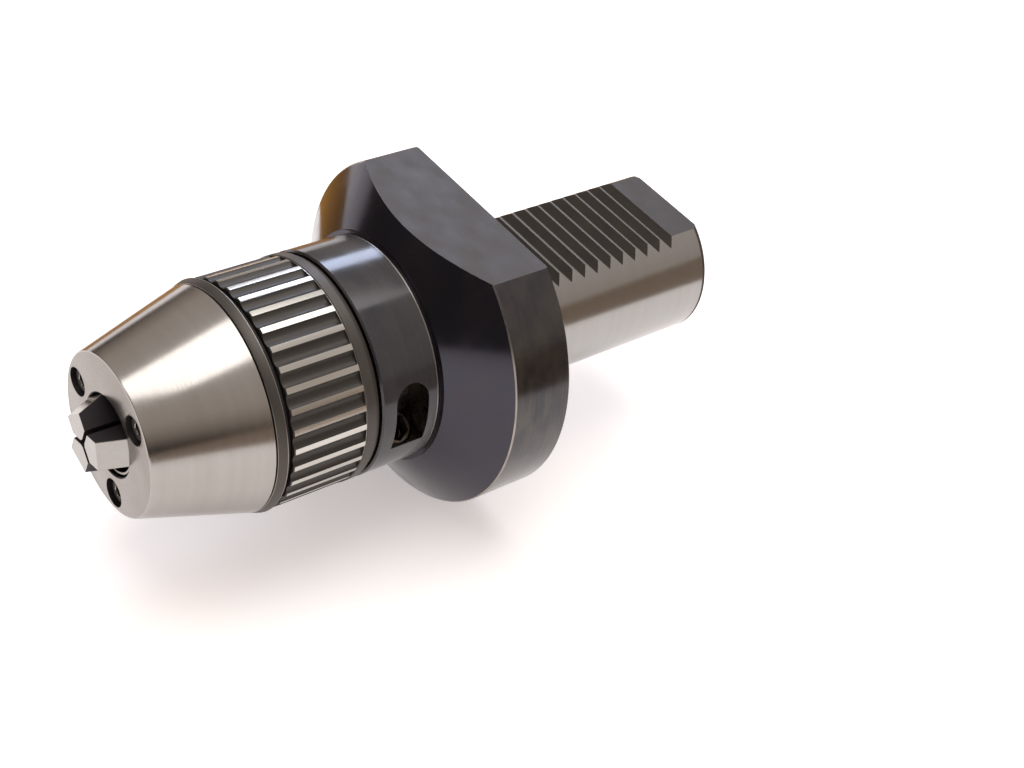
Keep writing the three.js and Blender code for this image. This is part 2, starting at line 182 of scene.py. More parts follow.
# ---- finishes
@dataclass
class Canvas:
    """A material in the making: its nodes, its shader and the piece's own coordinates."""

    tree: bpy.types.NodeTree
    shader: bpy.types.Node
    place: Socket

    def streaks(self, spacing: Triple, detail: float = 3.0, place: Socket | None = None) -> Socket:
        """Noise with its own grain size along each axis.

        Args:
            spacing: grain size along X, Y and Z.
            detail: layers of finer noise.
            place: the coordinates that it lies in, if not the piece's own.

        Returns:
            The noise's value socket.
        """
        scale = tuple(1 / mm(step) for step in spacing)
        where = self.place if place is None else place
        laid = add_node(self.tree, "ShaderNodeMapping", {"Vector": where, "Scale": scale})
        settings = {"Vector": laid.outputs[0], "Scale": 1.0, "Detail": detail}
        return add_node(self.tree, "ShaderNodeTexNoise", settings).outputs["Fac"]

    def spread(self, value: Socket, low: float, high: float) -> Socket:
        """Spreads noise, which lies mostly between 0.3 and 0.7, over a range.

        Args:
            value: the noise.
            low: the range's low end.
            high: its high end.

        Returns:
            The spread value's socket.
        """
        ends = {"Value": value, "From Min": 0.3, "From Max": 0.7, "To Min": low, "To Max": high}
        return add_node(self.tree, "ShaderNodeMapRange", ends).outputs["Result"]

    def blend(self, share: float, first: Socket, second: Socket) -> Socket:
        """Mixes two values.

        Args:
            share: the second one's share.
            first: a value.
            second: another value.

        Returns:
            The mixed value's socket.
        """
        inputs = {"Factor": share, "A": first, "B": second}
        return add_node(self.tree, "ShaderNodeMix", inputs, data_type="FLOAT").outputs["Result"]

    def tint(self, amount: Socket, first: str, second: str) -> None:
        """Colours the surface between two tones.

        Args:
            amount: how far toward the second tone, 0 to 1.
            first: a tone as sRGB hex.
            second: another tone.
        """
        inputs = {"Factor": amount, "A": linear(first), "B": linear(second)}
        mix = add_node(self.tree, "ShaderNodeMix", inputs, data_type="RGBA")
        self.tree.links.new(mix.outputs["Result"], self.shader.inputs["Base Color"])

    def roughen(self, value: Socket, low: float, high: float) -> None:
        """Lets noise change the roughness between two ends."""
        self.tree.links.new(self.spread(value, low, high), self.shader.inputs["Roughness"])

    def emboss(self, height: Socket, strength: float, depth: float) -> None:
        """Lets noise tilt the surface a little.

        Args:
            height: the noise.
            strength: how much of the tilt shows.
            depth: the relief's depth.
        """
        inputs = {"Height": height, "Strength": strength, "Distance": mm(depth)}
        bump = add_node(self.tree, "ShaderNodeBump", inputs)
        self.tree.links.new(bump.outputs["Normal"], self.shader.inputs["Normal"])


@dataclass(frozen=True)
class Finish:
    """A surface finish: a name, a colour and how it shines."""

    name: str
    colour: str
    roughness: float = 0.4
    metallic: float = 1.0

    def build(self) -> Material:
        """Makes the material.

        Returns:
            The new material, with its pattern laid on.
        """
        material = bpy.data.materials.new(self.name)
        material.use_nodes = True
        tree = material.node_tree
        tree.nodes.clear()
        shine = {"Base Color": linear(self.colour), "Roughness": self.roughness, "Metallic": self.metallic}
        shader = add_node(tree, "ShaderNodeBsdfPrincipled", shine)
        add_node(tree, "ShaderNodeOutputMaterial", {"Surface": shader.outputs["BSDF"]})
        place = add_node(tree, "ShaderNodeTexCoord").outputs["Object"]
        self.pattern(Canvas(tree, shader, place))
        material.diffuse_color = linear(self.colour)
        return material

    def pattern(self, canvas: Canvas) -> None:
        """Lays the finish's pattern on a canvas.

        Args:
            canvas: the material in the making.
        """
        raise NotImplementedError


@dataclass(frozen=True)
class GroundSteel(Finish):
    """Hardened steel, ground while it turns: fine rings that spread each highlight lengthwise."""

    grain: Triple = (60.0, 0.16, 60.0)
    depth: float = 0.0005
    darker: str = "#a29b96"
    band: float = 2.5

    def pattern(self, canvas: Canvas) -> None:
        """Rings, drawn coarser than the grit's real spacing so that they show, and wider bands of tone.

        Args:
            canvas: the material in the making.
        """
        rings = canvas.streaks(self.grain, 1.0)
        bands = canvas.streaks(tuple(max(step, self.band) for step in self.grain), 2.0)
        canvas.roughen(rings, self.roughness - 0.02, self.roughness + 0.03)
        canvas.tint(canvas.spread(bands, 0.0, 0.35), self.colour, self.darker)
        canvas.emboss(rings, 0.2, self.depth)


@dataclass(frozen=True)
class FacedSteel(Finish):
    """Steel ground flat on its face: a satin sheen with fine rings about the tool axis."""

    ring_spacing: float = 0.2
    cloud_size: float = 5.0
    darker: str = "#a39d97"

    def pattern(self, canvas: Canvas) -> None:
        """Rings by distance from the tool axis, drawn coarser than real, over a faint cloudiness.

        Args:
            canvas: the material in the making.
        """
        across = {0: canvas.place, 1: (1.0, 0.0, 1.0)}
        flat = add_node(canvas.tree, "ShaderNodeVectorMath", across, operation="MULTIPLY")
        reach = add_node(canvas.tree, "ShaderNodeVectorMath", {0: flat.outputs[0]}, operation="LENGTH")
        parts = {"X": reach.outputs["Value"], "Y": 0.0, "Z": 0.0}
        along = add_node(canvas.tree, "ShaderNodeCombineXYZ", parts)
        rings = canvas.streaks((self.ring_spacing, 1.0, 1.0), place=along.outputs[0])
        cloud = canvas.streaks((self.cloud_size,) * 3)
        canvas.roughen(rings, self.roughness - 0.05, self.roughness + 0.06)
        canvas.tint(canvas.spread(cloud, 0.0, 0.5), self.colour, self.darker)
        canvas.emboss(rings, 0.2, 0.001)


@dataclass(frozen=True)
class BlackOxide(Finish):
    """Steel blackened in a hot bath: a thin oxide that keeps the steel's polish, faintly mottled."""

    blackening: Blackening = Blackening.POLISHED
    warmer: str = "#2c2523"
    marks: Triple = (30.0, 0.4, 30.0)
    clouds: Triple = (7.0, 5.0, 7.0)
    grains: Triple = (0.35, 0.35, 0.35)

    def pattern(self, canvas: Canvas) -> None:
        """Turning marks and grain, both coarser than real, and clouds of tone and handling oil.

        Args:
            canvas: the material in the making.
        """
        rough, change, metal = self.blackening.value
        canvas.shader.inputs["Metallic"].default_value = metal
        marks = canvas.streaks(self.marks, 2.0)
        cloud = canvas.streaks(self.clouds, 5.0)
        grain = canvas.streaks(self.grains, 2.0)
        mottled = canvas.spread(canvas.blend(0.35, cloud, marks), 0.0, 1.0)
        canvas.tint(mottled, self.colour, self.warmer)
        canvas.roughen(canvas.blend(0.25, cloud, grain), rough - change / 3, rough + change)
        canvas.emboss(marks, 0.18, 0.0014)


@dataclass(frozen=True)
class OiledSteel(Finish):
    """Hardened steel straight from heat treatment, brown-grey under a film of oil."""

    warmer: str = "#5f5245"
    cloud_size: float = 4.0
    film_size: float = 1.5

    def pattern(self, canvas: Canvas) -> None:
        """Heat-treatment clouds and a blotchy film that shines where it is thick.

        Args:
            canvas: the material in the making.
        """
        cloud = canvas.streaks((self.cloud_size,) * 3, 4.0)
        film = canvas.streaks((self.film_size,) * 3)
        canvas.tint(canvas.spread(cloud, 0.0, 0.9), self.colour, self.warmer)
        canvas.roughen(film, self.roughness - 0.1, self.roughness + 0.12)


@dataclass(frozen=True)
class MouldedRubber(Finish):
    """Moulded nitrile rubber: black, with the faint sparkle of a spark-eroded mould."""

    pebble_size: float = 0.2

    def pattern(self, canvas: Canvas) -> None:
        """A fine pebble that keeps the rubber from looking polished.

        Args:
            canvas: the material in the making.
        """
        pebble = canvas.streaks((self.pebble_size,) * 3, 2.0)
        canvas.roughen(pebble, 0.62, 0.8)
        canvas.emboss(pebble, 0.3, 0.02)


def blackened(name: str, colour: str, warmer: str, grade: Blackening) -> Material:
    """A black oxide's material.

    Args:
        name: what is blackened, or how.
        colour: its main tone as sRGB hex.
        warmer: the tone of its clouds.
        grade: the surface under the oxide.

    Returns:
        The new material.
    """
    return BlackOxide(f"{name}_black_oxide", colour, warmer=warmer, blackening=grade).build()


class Paintbox:
    """Every finish of the chuck, made once."""

    def __init__(self) -> None:
        """Makes the materials."""
        grade = Blackening
        # The brightest surface: every light lies on it as a long band with soft edges.
        self.cone = GroundSteel("cone_ground_steel", "#a5a19e", 0.17, darker="#97938f").build()
        # Even and a little matt, so that the nose's rim shows against the cone.
        self.face = FacedSteel("nose_face_ground_steel", "#948e8a", 0.27, darker="#86807b").build()
        # Bright like the cone and a shade greyer.
        self.shank = GroundSteel("shank_ground_steel", "#a09e9c", 0.17, darker="#94918e").build()
        # Narrow bright strips between the flutes, streaked lengthwise by wear.
        lands = {"grain": (2.6, 40.0, 2.6), "darker": "#8c8782"}
        self.land = GroundSteel("land_ground_steel", "#c8c5c0", 0.2, **lands).build()
        # Light, with lengthwise grinding lines on the jaws' backs and tips.
        self.jaw = GroundSteel("jaw_ground_steel", "#a7a5a2", 0.24, grain=(0.3, 40.0, 0.3)).build()
        # The near-black flanks that set the bright jaws apart.
        self.jaw_side = blackened("jaw_side", "#37333a", "#403a3c", grade.SATIN)
        # Deep blue-black that mirrors the floor, on the flange's front.
        self.gloss = blackened("polished", "#3e3e48", "#444047", grade.POLISHED)
        # A lighter sheen than the flange's, cloudy from handling.
        self.barrel = blackened("barrel", "#39393f", "#484546", grade.BUFFED)
        # Fine marks and warm clouds round the flange's rim.
        self.rim = blackened("turned", "#3f3e43", "#5a5653", grade.TURNED)
        # Soft brown-black of the rings, plugs and sleeve rim.
        self.satin = blackened("satin", "#4a4745", "#524c47", grade.SATIN)
        # The same, darker, in the flutes and on the screws.
        self.flute = blackened("flute", "#3a3836", "#423d39", grade.SATIN)
        # Flat grey-black of the milled flats and rack.
        self.milled = blackened("milled", "#423e3e", "#494442", grade.MILLED)
        # Thin lighter lines on the rack's crests: a painted highlight where they catch the light, as well
        # as where the crests are rubbed.
        self.crest = blackened("crest", "#5e5955", "#69635f", grade.MILLED)
        # The thin bright line along every edge: a painted highlight where the edges catch the light, as
        # well as steel where the black has worn off.
        self.edge = FacedSteel("worn_and_highlit_edge_steel", "#a09a94", 0.32, darker="#77716c").build()
        # A dull wet glint from inside the key's window.
        self.hardened = OiledSteel("oiled_hardened_steel", "#6b6864", 0.32).build()
        # A warm yellow ring, should the worm be taken out.
        self.bronze = OiledSteel("turned_bearing_bronze", "#9b7440", 0.34, warmer="#7d5a2c").build()
        # A lightless black line where pieces are sealed.
        self.rubber = MouldedRubber("moulded_nitrile_rubber", "#101012", 0.7, 0.0).build()


# ---- shapes
def cleaned(bm: Mesh) -> Mesh:
    """Merges doubled points and turns every face out.

    Args:
        bm: the mesh, changed in place.

    Returns:
        The same mesh.
    """
    bmesh.ops.remove_doubles(bm, verts=bm.verts, dist=1e-7)
    bmesh.ops.dissolve_degenerate(bm, edges=bm.edges, dist=1e-8)
    bmesh.ops.recalc_face_normals(bm, faces=bm.faces)
    return bm


def turned(profile: Profile, steps: int = 192) -> Mesh:
    """A solid turned about the tool axis.

    Args:
        profile: [radius, ahead] points that start and end on the axis, or close on themselves.
        steps: facets round the turn.

    Returns:
        The closed mesh, faces out.
    """
    bm = bmesh.new()
    outline = [bm.verts.new((mm(radius), -mm(ahead), 0.0)) for radius, ahead in profile]
    pairs = list(zip(outline, outline[1:]))
    if all(radius > 0 for radius, _ in profile):
        pairs.append((outline[-1], outline[0]))
    edges = [bm.edges.new(pair) for pair in pairs]
    way = {"cent": (0, 0, 0), "axis": (0, 1, 0), "angle": 2 * math.pi}
    bmesh.ops.spin(bm, geom=outline + edges, steps=steps, use_merge=True, **way)
    return cleaned(bm)


def bar(radius: float, start: Vector, end: Vector, sides: int = 48) -> Mesh:
    """A round or many-sided bar between two points.

    Args:
        radius: to its corners, in millimetres.
        start: centre of one end, in metres.
        end: centre of the other end, in metres.
        sides: facets round it.

    Returns:
        The closed mesh.
    """
    bm = bmesh.new()
    along = end - start
    turn = along.to_track_quat("Z", "Y").to_matrix().to_4x4()
    bmesh.ops.create_cone(
        bm,
        cap_ends=True,
        segments=sides,
        radius1=mm(radius),
        radius2=mm(radius),
        depth=along.length,
        matrix=Matrix.Translation((start + end) / 2) @ turn,
    )
    return bm


def prism(outline: Iterable[Vector], along: Vector) -> Mesh:
    """A prism from a flat outline.

    Args:
        outline: its corners in order, in metres.
        along: how far and which way the outline is pushed, in metres.

    Returns:
        The closed mesh, faces out.
    """
    bm = bmesh.new()
    face = bm.faces.new([bm.verts.new(point) for point in outline])
    pushed = bmesh.ops.extrude_face_region(bm, geom=[face], use_keep_orig=True)
    moved = [part for part in pushed["geom"] if isinstance(part, bmesh.types.BMVert)]
    bmesh.ops.translate(bm, verts=moved, vec=along)
    return cleaned(bm)


def block(low: Triple, high: Triple) -> Mesh:
    """A box between two corners.

    Args:
        low: its corner at the low end of X, Y and Z.
        high: its opposite corner.

    Returns:
        The closed mesh.
    """
    bm = bmesh.new()
    near, far = (Vector([mm(value) for value in corner]) for corner in (low, high))
    bmesh.ops.create_cube(bm, size=1.0)
    shape = Matrix.Translation((near + far) / 2) @ Matrix.Diagonal((*(far - near), 1.0))
    bmesh.ops.transform(bm, matrix=shape, verts=bm.verts)
    return bm


def swung(bm: Mesh, angle: float) -> Mesh:
    """Turns a mesh about the tool axis.

    Args:
        bm: the mesh, changed in place.
        angle: degrees from +X toward +Z.

    Returns:
        The same mesh.
    """
    turn = Matrix.Rotation(math.radians(-angle), 3, "Y")
    bmesh.ops.rotate(bm, verts=bm.verts, cent=(0, 0, 0), matrix=turn)
    return bm


def gathered(parts: Iterable[Mesh]) -> Mesh:
    """Several meshes in one, each left closed.

    Args:
        parts: the meshes, used up.

    Returns:
        The joint mesh.
    """
    whole = bmesh.new()
    for part in parts:
        mesh = bpy.data.meshes.new("part")
        part.to_mesh(mesh)
        part.free()
        whole.from_mesh(mesh)
        bpy.data.meshes.remove(mesh)
    return whole


def on_screw_circle(radius: float, start: float, end: float, sides: int = 48) -> Mesh:
    """One bar on each nose screw's line.

    Args:
        radius: the bars' radius.
        start: how far ahead they start.
        end: how far ahead they end.
        sides: facets round each.

    Returns:
        The three bars in one mesh.
    """
    return gathered(
        bar(radius, spot(SCREW_CIRCLE, start, angle), spot(SCREW_CIRCLE, end, angle), sides)
        for angle in SCREW_ANGLES
    )


def as_object(name: str, bm: Mesh) -> bpy.types.Object:
    """Puts a mesh in the scene as an object at the origin.

    Args:
        name: the object's name.
        bm: the mesh, used up.

    Returns:
        The new object.
    """
    mesh = bpy.data.meshes.new(name)
    bm.to_mesh(mesh)
    bm.free()
    piece = bpy.data.objects.new(name, mesh)
    bpy.context.scene.collection.objects.link(piece)
    return piece


def as_mesh(piece: bpy.types.Object) -> Mesh:
    """Takes an object out of the scene.

    Args:
        piece: the object, removed.

    Returns:
        Its mesh.
    """
    bm = bmesh.new()
    bm.from_mesh(piece.data)
    bpy.data.objects.remove(piece)
    return bm


def settle(piece: bpy.types.Object) -> None:
    """Makes the piece's modifiers part of its mesh.

    Args:
        piece: the piece, changed in place.
    """
    graph = bpy.context.evaluated_depsgraph_get()
    shaped = bpy.data.meshes.new_from_object(piece.evaluated_get(graph))
    piece.modifiers.clear()
    before, piece.data = piece.data, shaped
    bpy.data.meshes.remove(before)
    shaped.name = piece.name


def carve(piece: bpy.types.Object, tool: Mesh, how: Carving = Carving.CUT) -> None:
    """Cuts, joins or trims a piece with another mesh.

    Args:
        piece: the piece to change.
        tool: the mesh to change it with, used up.
        how: what the tool does.
    """
    cutter = as_object("cutter", tool)
    change = piece.modifiers.new("carve", "BOOLEAN")
    change.operation = how.value
    change.solver = "EXACT"
    change.object = cutter
    settle(piece)
    bpy.data.objects.remove(cutter)


def paint(piece: bpy.types.Object, finishes: Sequence[Material], choose: Choice | None = None) -> None:
    """Gives each face a finish by its place and direction.

    Args:
        piece: the piece to paint.
        finishes: the finishes that it takes, first the usual one.
        choose: from a face's centre in millimetres and its normal, the finish it takes.
    """
    piece.data.materials.clear()
    for finish in finishes:
        piece.data.materials.append(finish)
    numbers = {finish.name: number for number, finish in enumerate(finishes)}
    if choose:
        for face in piece.data.polygons:
            face.material_index = numbers[choose(face.center * MM_PER_M, face.normal).name]


def soften(
    piece: bpy.types.Object,
    width: float = 0.0,
    segments: int = 2,
    edge: Material | None = None,
    angle: float = 28.0,
) -> None:
    """Breaks the sharp edges and shades the rest smooth.

    Args:
        piece: the piece to finish, painted already.
        width: width of the broken edge, or 0 to leave the edges.
        segments: facets across it.
        edge: the finish that the broken edges take, if not their neighbours'.
        angle: edges sharper than this, in degrees, are broken.
    """
    if width:
        bevel = piece.modifiers.new("broken_edges", "BEVEL")
        bevel.width = mm(width)
        bevel.segments = segments
        bevel.limit_method = "ANGLE"
        bevel.angle_limit = math.radians(angle)
        bevel.miter_outer = "MITER_ARC"
        bevel.use_clamp_overlap = True
        bevel.harden_normals = True
        # Broken edges take the bright edge finish: a painted highlight line along each edge, as well as
        # worn-off black.
        bevel.material = piece.data.materials.find(edge.name) if edge else -1
    for face in piece.data.polygons:
        face.use_smooth = True
    piece.data.set_sharp_from_angle(angle=math.radians(angle))


@dataclass
class Assembly:
    """A group of pieces that are made and dressed together."""

    paints: Paintbox

    def put(self, piece: bpy.types.Object, body: Body, node: str, slot: str) -> None:
        """Sets a finished piece on its body, in place of its plain node.

        Args:
            piece: the finished piece.
            body: the body that it rides on.
            node: the node that it stands for.
            slot: the record's material slot that its finish comes from; not used.
        """
        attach(piece, body.value)
        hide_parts(node)
        LOG.info("%s: %d faces, rides on %s", piece.name, len(piece.data.polygons), body.value)


@dataclass(frozen=True)
class WormLine:
    """The line that the drive worm lies on."""

    centre: Vector
    way: Vector

    @classmethod
    def of(cls, record: dict) -> "WormLine":
        """Reads the line from the worm's joint.

        Args:
            record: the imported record.

        Returns:
            The line.
        """
        joint = next(j for j in record["behaviour"]["joints"] if j["name"] == "worm_turn")
        return cls(Vector(joint["pos_m"]), Vector(joint["axis"]).normalized())

    def point(self, past: float) -> Vector:
        """The point that lies a distance past the worm's centre."""
        return self.centre + self.way * mm(past)

    def bar(self, radius: float, start: float, end: float, sides: int = 48) -> Mesh:
        """A bar on the line, between two distances past the worm's centre."""
        return bar(radius, self.point(start), self.point(end), sides)


# ---- holder
@dataclass
class Holder(Assembly):
    """Shank, flange and barrel in one piece, with the seal and plugs that close it."""

    line: WormLine
    shank_r: float = 20.0
    shank_flat: float = 16.0
    shank_chamfer: float = 0.75
    rack_start: float = 3.0
    rack_pitch: float = 4.0
    rack_notches: int = 11
    rack_last_crest: float = 54.0
    rack_crest: float = 0.5
    rack_depth: float = 1.9
    rack_floor: float = 2.45
    flange_rim: float = 15.3
    seal_groove: tuple[float, float] = (21.2, 24.2)
    seal_depth: float = 2.6
    barrel_r: float = 26.8
    barrel_start: float = 25.2
    barrel_front: float = 40.3
    recess_r: float = 22.3
    hub_face: float = 36.4
    window: tuple[float, float] = (-5.4, 11.0)
    window_ahead: float = 32.4
    window_width: float = 8.6
    window_floor: float = 18.5
    worm_bore_r: float = 4.1
    centre_hole_r: float = 6.3
    plug_hex: float = 5.0
    worm_plug_r: float = 3.8
    worm_plug_hex: float = 3.0

    def build(self) -> None:
        """Makes the holder and the small pieces on it."""
        high = in_mm(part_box("holder_body"))[1]
        self.flange_r, self.shank_end, self.flange_flat = high
        self.build_body()
        self.build_seal()
        self.build_plugs()

    def profile(self) -> Profile:
        """The outline that the holder is turned to.

        Returns:
            Its points, from the shank's end to the hub's face.
        """
        foot, front, wide = self.barrel_start, self.barrel_front, self.barrel_r
        rim, end, chamfer = self.flange_r, -self.shank_end, self.shank_chamfer
        groove_in, groove_out = self.seal_groove
        return [
            (0, end), (self.shank_r - chamfer, end),
            (self.shank_r, end + chamfer), (self.shank_r, end + 2 * chamfer),
            (self.shank_r, -2.4), (self.shank_r - 0.5, -2), (self.shank_r - 0.5, 0),
            (groove_in, 0), (groove_in, self.seal_depth), (groove_out, self.seal_depth), (groove_out, 0),
            (rim - 0.3, 0), (rim, 0.3), (rim, self.flange_rim - 0.3), (rim - 0.3, self.flange_rim),
            (wide + 0.9, foot - 0.55), (wide + 0.4, foot - 0.65), (wide - 0.35, foot - 0.5),
            (wide - 0.35, foot), (wide, foot + 0.35), (wide, foot + 0.6),
            (wide, front - 0.4), (wide - 0.4, front), (25.2, front), (25.2, front - 1.7),
            (self.recess_r, front - 1.7), (self.recess_r, self.hub_face), (0, self.hub_face),
        ]  # fmt: skip

    def rack_tool(self) -> Mesh:
        """The comb that mills the shank's flat and its sawtooth notches in one pass.

        Returns:
            The tool's mesh.
        """
        flat, top, deep = self.shank_flat, 30.0, self.shank_flat - self.rack_depth
        points = [(self.rack_start, top), (self.rack_start, flat)]
        for n in range(self.rack_notches, 0, -1):
            crest = self.rack_last_crest - self.rack_pitch * n
            floor = crest + self.rack_floor
            points += [(crest + self.rack_crest, flat), (floor, deep), (floor + 0.15, deep)]
            points.append((crest + self.rack_pitch, flat))
        points += [(self.shank_end + 2, flat), (self.shank_end + 2, top)]
        side = mm(self.shank_r + 2)
        return prism([Vector((-side, mm(y), mm(z))) for y, z in points], Vector((2 * side, 0, 0)))

    def window_tool(self) -> Mesh:
        """The cutter for the key's window: round above, flat below.

        Returns:
            The tool's mesh.
        """
        half, depth, steps = self.window_width / 2, 12.0, 24
        low, high = self.window
        arc = [math.pi * n / steps for n in range(steps + 1)]
        points = [(half, low)]
        points += [(half * math.cos(t), high - half + half * math.sin(t)) for t in arc]
        points.append((-half, low))
        outline = [Vector((mm(self.window_floor), mm(y - self.window_ahead), mm(z))) for y, z in points]
        return prism(outline, Vector((mm(depth), 0, 0)))

    def shank_finish(self, centre: Vector, normal: Vector) -> Material:
        """The finish of one face of the shank.

        Args:
            centre: the face's centre in millimetres.
            normal: its direction.

        Returns:
            The finish.
        """
        tints = self.paints
        if abs(normal.y) > 0.9:
            return tints.satin
        # Crest tops take the lighter crest finish: a painted highlight, as well as rubbing.
        if normal.z > 0.99 and 12 < centre.y < self.rack_last_crest - 0.5:
            return tints.crest
        at_radius = abs(math.hypot(centre.x, centre.z) - self.shank_r) < 0.25
        if at_radius and abs(normal.y) < 0.2 and centre.y < self.shank_end - 1.5:
            if centre.z < self.shank_flat - 0.02:
                return tints.shank
        return tints.satin if abs(normal.y) > 0.3 else tints.milled

    def choose(self, centre: Vector, normal: Vector) -> Material:
        """The finish of one face.

        Args:
            centre: the face's centre in millimetres.
            normal: its direction.

        Returns:
            The finish.
        """
        tints, reach, foot = self.paints, math.hypot(centre.x, centre.z), -self.barrel_start
        if centre.y > 0.3:
            return self.shank_finish(centre, normal)
        if centre.z > self.flange_flat - 0.05:
            return tints.milled
        # The flange's front chamfer: a painted highlight line, as well as worn-off black.
        if self.flange_r - 0.28 < reach < self.flange_r - 0.04 and normal.y < -0.3:
            return tints.edge
        if reach > self.flange_r - 0.1:
            return tints.rim
        if centre.y > -0.05:
            return tints.satin
        if reach < self.barrel_r - 0.6:
            return tints.hardened
        # The chamfer at the barrel's foot: a painted highlight line, as well as worn-off black.
        if foot - 0.58 < centre.y < foot:
            return tints.edge
        return tints.barrel if centre.y < foot else tints.gloss

    def build_body(self) -> None:
        """Turns, mills and finishes the holder's body."""
        bm = turned(self.profile(), 224)
        cut = bmesh.ops.bisect_plane(
            bm,
            geom=bm.verts[:] + bm.edges[:] + bm.faces[:],
            plane_co=(0, 0, mm(self.flange_flat)),
            plane_no=(0, 0, 1),
            clear_outer=True,
        )
        rim = [part for part in cut["geom_cut"] if isinstance(part, bmesh.types.BMEdge)]
        bmesh.ops.contextual_create(bm, geom=rim)
        bmesh.ops.recalc_face_normals(bm, faces=bm.faces)
        piece = as_object("holder", bm)
        centre_hole = bar(self.centre_hole_r, spot(0, -self.shank_end - 1, 0), spot(0, -55, 0))
        for tool in (
            self.rack_tool(),
            self.window_tool(),
            self.line.bar(self.worm_bore_r, -12.0, 24.0),
            on_screw_circle(SCREW_HOLE_R, 25.5, self.hub_face + 1, 24),
            centre_hole,
        ):
            carve(piece, tool)
        tints = self.paints
        finishes = [
            tints.gloss, tints.satin, tints.shank, tints.milled, tints.edge, tints.hardened, tints.rim,
            tints.barrel, tints.crest,
        ]  # fmt: skip
        paint(piece, finishes, self.choose)
        soften(piece, 0.16, edge=tints.edge)
        self.put(piece, Body.HOUSING, "holder_body", "black_oxide_gloss")

    def build_seal(self) -> None:
        """The sealing ring in the flange's rear face."""
        low, high = in_mm(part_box("flange_seal"))
        thick = (high[1] - low[1]) / 2
        middle, ahead = high[0] - thick, -(high[1] + low[1]) / 2
        turns = [2 * math.pi * n / 20 for n in range(20)]
        section = [(middle + thick * math.cos(t), ahead + thick * math.sin(t)) for t in turns]
        piece = as_object("seal_ring", turned(section, 128))
        paint(piece, [self.paints.rubber])
        soften(piece)
        self.put(piece, Body.HOUSING, "flange_seal", "seal_rubber")

    def build_plugs(self) -> None:
        """The plug in the shank's end and the one below the worm."""
        low, high = in_mm(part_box("rear_plug"))
        rear = as_object("shank_plug", bar(high[0], spot(0, -high[1], 0), spot(0, -low[1], 0)))
        carve(rear, bar(self.plug_hex * HEX_CORNER, spot(0, -66, 0), spot(0, -59, 0), 6))
        paint(rear, [self.paints.satin])
        soften(rear, 0.35)
        self.put(rear, Body.HOUSING, "rear_plug", "screw_black")
        lower = as_object("bore_plug", self.line.bar(self.worm_plug_r, 9.6, 14.0))
        carve(lower, self.line.bar(self.worm_plug_hex * HEX_CORNER, 12.0, 16.0, 6))
        paint(lower, [self.paints.satin])
        soften(lower, 0.3)
        self.put(lower, Body.HOUSING, "worm_plug", "screw_black")


